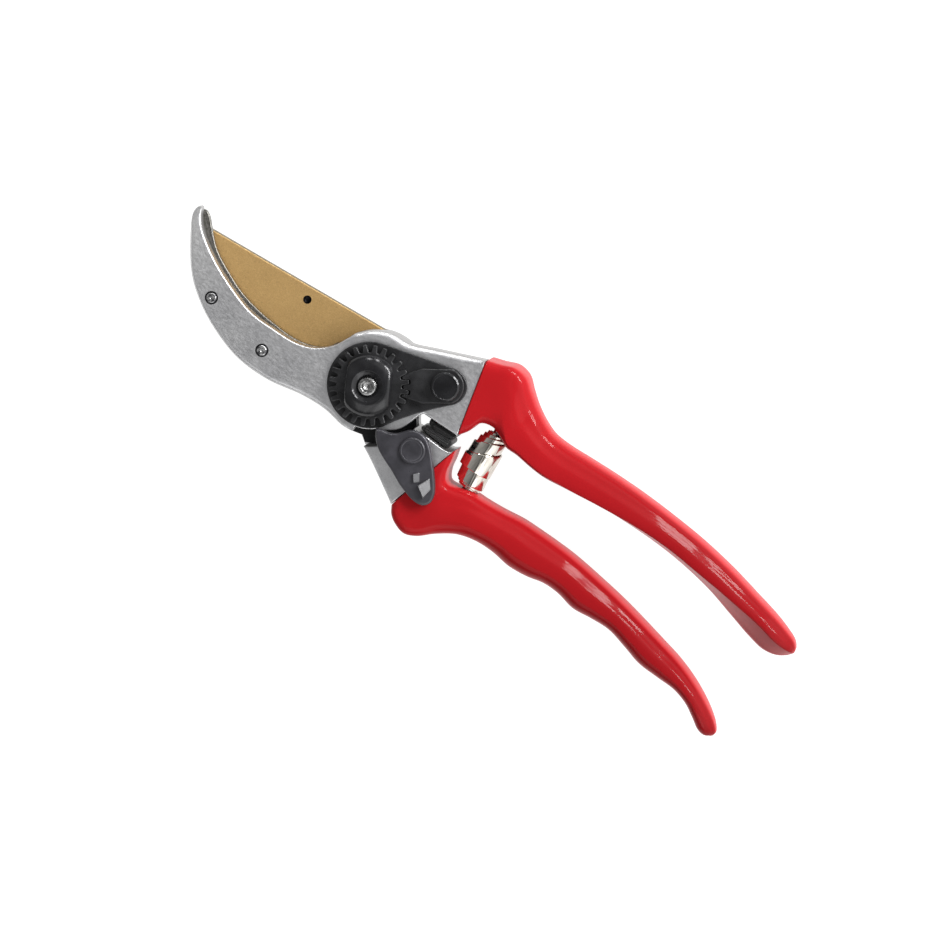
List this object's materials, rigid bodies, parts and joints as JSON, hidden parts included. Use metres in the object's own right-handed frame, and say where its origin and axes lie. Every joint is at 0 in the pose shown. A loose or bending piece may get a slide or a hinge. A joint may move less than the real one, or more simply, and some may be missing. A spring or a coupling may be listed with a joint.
{
  "type": "pruning shears",
  "caption": "Bypass pruning shears with a curved hook, a gold-coated blade, a toothed lock nut, a volute spring and dipped red grips.",
  "frame": {"origin": "on the pivot axis, at the outer flat face of the pivot bolt's head, which is the back of the tool and what it lies on", "axes": "+X from the pivot toward the ends of the handles, +Y toward the thumb handle and the back of the blade, +Z along the pivot from the bolt head to the nut"},
  "size_m": [0.2152, 0.0584, 0.025],
  "materials": {
    "cast_aluminium": "tumbled and lightly brushed casting",
    "hardened_steel": "ground hardened steel",
    "rivet": "bright peened metal",
    "red_vinyl": "glossy dipped vinyl",
    "bright_steel": "bright turned steel",
    "black_steel": "black oxide, satin",
    "slate_steel": "dark slate-grey oxide, satin",
    "black_rubber": "matt black rubber",
    "nickel_spring": "bright nickel plating",
    "gold_coated_steel": "satin gold-coloured hard coating"
  },
  "bodies": {
    "anvil_side": {"anvil_handle": "cast_aluminium", "anvil_blade": "hardened_steel", "anvil_rivet_front": "rivet", "anvil_rivet_rear": "rivet", "anvil_grip": "red_vinyl", "pivot_bolt": "bright_steel", "lock_plate": "black_steel", "nut_collar": "black_steel", "pivot_nut": "black_steel", "toothed_segment": "black_steel", "segment_screw": "black_steel", "anvil_bumper": "black_rubber", "spring_stud_upper": "rivet", "volute_spring": "nickel_spring"},
    "blade_side": {"blade_handle": "cast_aluminium", "pivot_bush": "bright_steel", "cutting_blade": "gold_coated_steel", "blade_screw": "black_steel", "blade_bumper": "black_rubber", "blade_grip": "red_vinyl", "catch_washer": "black_steel", "catch_rivet": "slate_steel", "spring_stud_lower": "rivet"},
    "catch": {"catch_lever": "slate_steel"}
  },
  "joints": [
    {"name": "jaw_pivot", "type": "hinge", "parent": "anvil_side", "child": "blade_side", "pos_m": [0, 0, 0.01], "axis": [0, 0, -1], "range_deg": [0, 30], "deforming": ["volute_spring"]},
    {"name": "catch_turn", "type": "hinge", "parent": "blade_side", "child": "catch", "pos_m": [0.0217, -0.0062, 0.0208], "axis": [0, 0, 1], "range_deg": [0, 30]}
  ]
}
